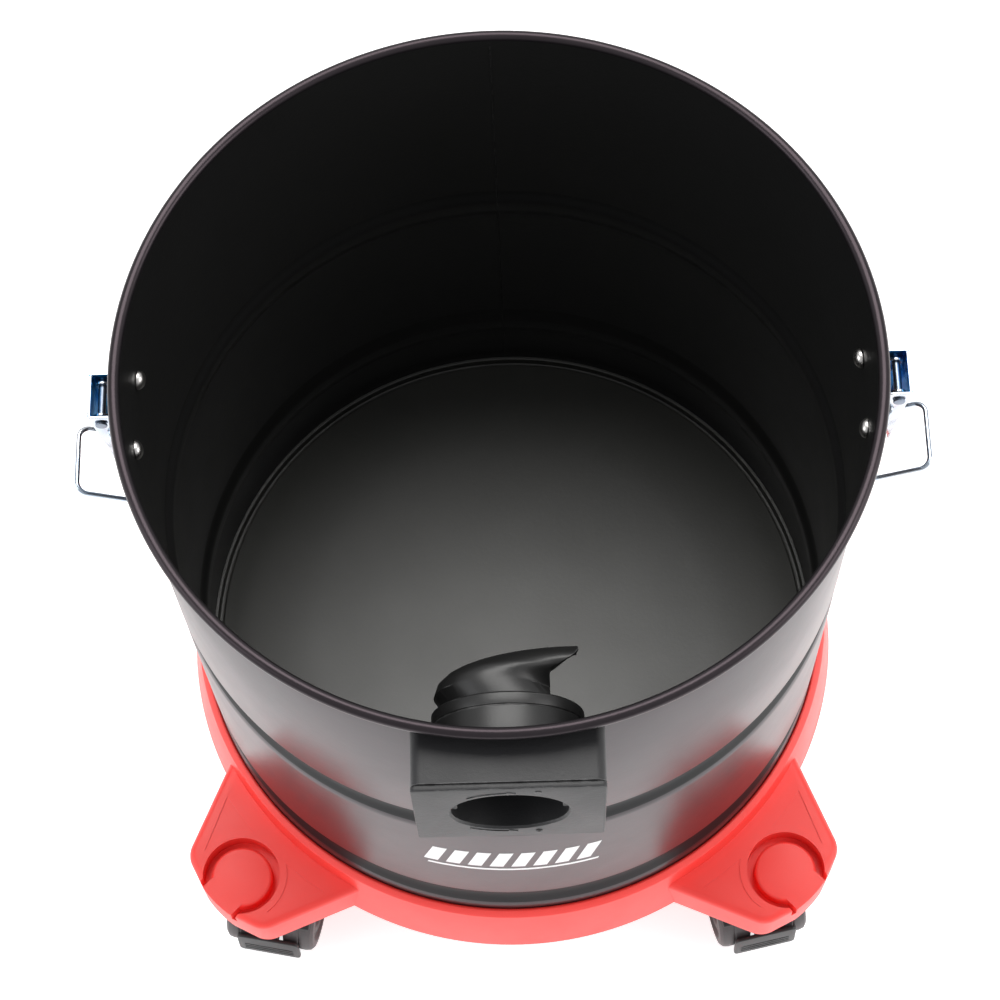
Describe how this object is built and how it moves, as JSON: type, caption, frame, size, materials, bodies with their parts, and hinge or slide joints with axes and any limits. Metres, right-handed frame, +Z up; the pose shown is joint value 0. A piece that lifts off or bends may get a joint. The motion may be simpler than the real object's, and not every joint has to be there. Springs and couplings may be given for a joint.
{
  "type": "shop vacuum tank on caster trolley",
  "caption": "Open steel vacuum tank with rolled rim, side hose inlet and toggle latches, standing in a moulded trolley ring on twin-wheel swivel casters.",
  "frame": {"origin": "under the middle of the bounding box, on the floor; the tank's axis is 6.75 mm behind it", "axes": "+Z up along the tank's axis, hose inlet towards -Y, latches towards +X and -X"},
  "size_m": [0.4456, 0.4066, 0.45],
  "materials": {
    "black_paint": "satin black enamel",
    "black_plastic": "matt moulded black",
    "red_plastic": "moulded red, half gloss",
    "zinc": "bright zinc plate",
    "steel": "plain bright steel",
    "wheel_plastic": "hard dark grey plastic"
  },
  "bodies": {
    "tank": {"drum_shell": "black_paint", "drum_floor": "black_paint", "inlet_housing": "black_plastic", "inlet_collar": "black_plastic", "inlet_deflector": "black_plastic", "inlet_screw_1": "steel", "inlet_screw_2": "steel", "inlet_screw_3": "steel", "inlet_screw_4": "steel", "latch_bracket_right": "zinc", "latch_pin_right": "steel", "latch_rivet_right_1": "steel", "latch_rivet_right_2": "steel", "latch_bracket_left": "zinc", "latch_pin_left": "steel", "latch_rivet_left_1": "steel", "latch_rivet_left_2": "steel", "trolley_base": "red_plastic"},
    "lever_right": {"latch_lever_right": "zinc"},
    "bail_right": {"latch_bail_right": "zinc"},
    "lever_left": {"latch_lever_left": "zinc"},
    "bail_left": {"latch_bail_left": "zinc"},
    "caster_front_right": {"caster_fork_front_right": "black_plastic", "caster_stem_front_right": "steel", "caster_axle_front_right": "steel", "brake_pin_front_right": "steel"},
    "wheel_front_right_a": {"caster_wheel_front_right_a": "wheel_plastic"},
    "wheel_front_right_b": {"caster_wheel_front_right_b": "wheel_plastic"},
    "pedal_front_right": {"brake_pedal_front_right": "black_plastic"},
    "caster_front_left": {"caster_fork_front_left": "black_plastic", "caster_stem_front_left": "steel", "caster_axle_front_left": "steel", "brake_pin_front_left": "steel"},
    "wheel_front_left_a": {"caster_wheel_front_left_a": "wheel_plastic"},
    "wheel_front_left_b": {"caster_wheel_front_left_b": "wheel_plastic"},
    "pedal_front_left": {"brake_pedal_front_left": "black_plastic"},
    "caster_rear_left": {"caster_fork_rear_left": "black_plastic", "caster_stem_rear_left": "steel", "caster_axle_rear_left": "steel"},
    "wheel_rear_left_a": {"caster_wheel_rear_left_a": "wheel_plastic"},
    "wheel_rear_left_b": {"caster_wheel_rear_left_b": "wheel_plastic"},
    "caster_rear_right": {"caster_fork_rear_right": "black_plastic", "caster_stem_rear_right": "steel", "caster_axle_rear_right": "steel"},
    "wheel_rear_right_a": {"caster_wheel_rear_right_a": "wheel_plastic"},
    "wheel_rear_right_b": {"caster_wheel_rear_right_b": "wheel_plastic"}
  },
  "joints": [
    {"name": "lever_hinge_right", "type": "hinge", "parent": "tank", "child": "lever_right", "pos_m": [0.197, 0.00675, 0.419], "axis": [0, 1, 0], "range_deg": [-110, 0]},
    {"name": "bail_hinge_right", "type": "hinge", "parent": "lever_right", "child": "bail_right", "pos_m": [0.194, 0.00675, 0.409], "axis": [0, -1, 0], "range_deg": [0, 135]},
    {"name": "lever_hinge_left", "type": "hinge", "parent": "tank", "child": "lever_left", "pos_m": [-0.197, 0.00675, 0.419], "axis": [0, -1, 0], "range_deg": [-110, 0]},
    {"name": "bail_hinge_left", "type": "hinge", "parent": "lever_left", "child": "bail_left", "pos_m": [-0.194, 0.00675, 0.409], "axis": [0, 1, 0], "range_deg": [0, 135]},
    {"name": "swivel_front_right", "type": "hinge", "parent": "tank", "child": "caster_front_right", "pos_m": [0.13893, -0.13712, 0.0617], "axis": [0, 0, 1], "continuous": true},
    {"name": "roll_front_right_a", "type": "hinge", "parent": "caster_front_right", "child": "wheel_front_right_a", "pos_m": [0.12565, -0.15927, 0.025], "axis": [0.9792, 0.2028, 0], "continuous": true},
    {"name": "roll_front_right_b", "type": "hinge", "parent": "caster_front_right", "child": "wheel_front_right_b", "pos_m": [0.15992, -0.15217, 0.025], "axis": [0.9792, 0.2028, 0], "continuous": true},
    {"name": "pedal_hinge_front_right", "type": "hinge", "parent": "caster_front_right", "child": "pedal_front_right", "pos_m": [0.14572, -0.16992, 0.035], "axis": [-0.9792, -0.2028, 0], "range_deg": [0, 15]},
    {"name": "swivel_front_left", "type": "hinge", "parent": "tank", "child": "caster_front_left", "pos_m": [-0.14387, -0.13218, 0.0617], "axis": [0, 0, 1], "continuous": true},
    {"name": "roll_front_left_a", "type": "hinge", "parent": "caster_front_left", "child": "wheel_front_left_a", "pos_m": [-0.16486, -0.14724, 0.025], "axis": [0.9792, -0.2028, 0], "continuous": true},
    {"name": "roll_front_left_b", "type": "hinge", "parent": "caster_front_left", "child": "wheel_front_left_b", "pos_m": [-0.13059, -0.15434, 0.025], "axis": [0.9792, -0.2028, 0], "continuous": true},
    {"name": "pedal_hinge_front_left", "type": "hinge", "parent": "caster_front_left", "child": "pedal_front_left", "pos_m": [-0.15066, -0.16499, 0.035], "axis": [-0.9792, 0.2028, 0], "range_deg": [0, 15]},
    {"name": "swivel_rear_left", "type": "hinge", "parent": "tank", "child": "caster_rear_left", "pos_m": [-0.13893, 0.15062, 0.0617], "axis": [0, 0, 1], "continuous": true},
    {"name": "roll_rear_left_a", "type": "hinge", "parent": "caster_rear_left", "child": "wheel_rear_left_a", "pos_m": [-0.15802, 0.13322, 0.025], "axis": [0.9962, -0.0872, 0], "continuous": true},
    {"name": "roll_rear_left_b", "type": "hinge", "parent": "caster_rear_left", "child": "wheel_rear_left_b", "pos_m": [-0.12315, 0.13017, 0.025], "axis": [0.9962, -0.0872, 0], "continuous": true},
    {"name": "swivel_rear_right", "type": "hinge", "parent": "tank", "child": "caster_rear_right", "pos_m": [0.14387, 0.14568, 0.0617], "axis": [0, 0, 1], "continuous": true},
    {"name": "roll_rear_right_a", "type": "hinge", "parent": "caster_rear_right", "child": "wheel_rear_right_a", "pos_m": [0.12809, 0.12523, 0.025], "axis": [0.9962, 0.0872, 0], "continuous": true},
    {"name": "roll_rear_right_b", "type": "hinge", "parent": "caster_rear_right", "child": "wheel_rear_right_b", "pos_m": [0.16296, 0.12828, 0.025], "axis": [0.9962, 0.0872, 0], "continuous": true}
  ]
}
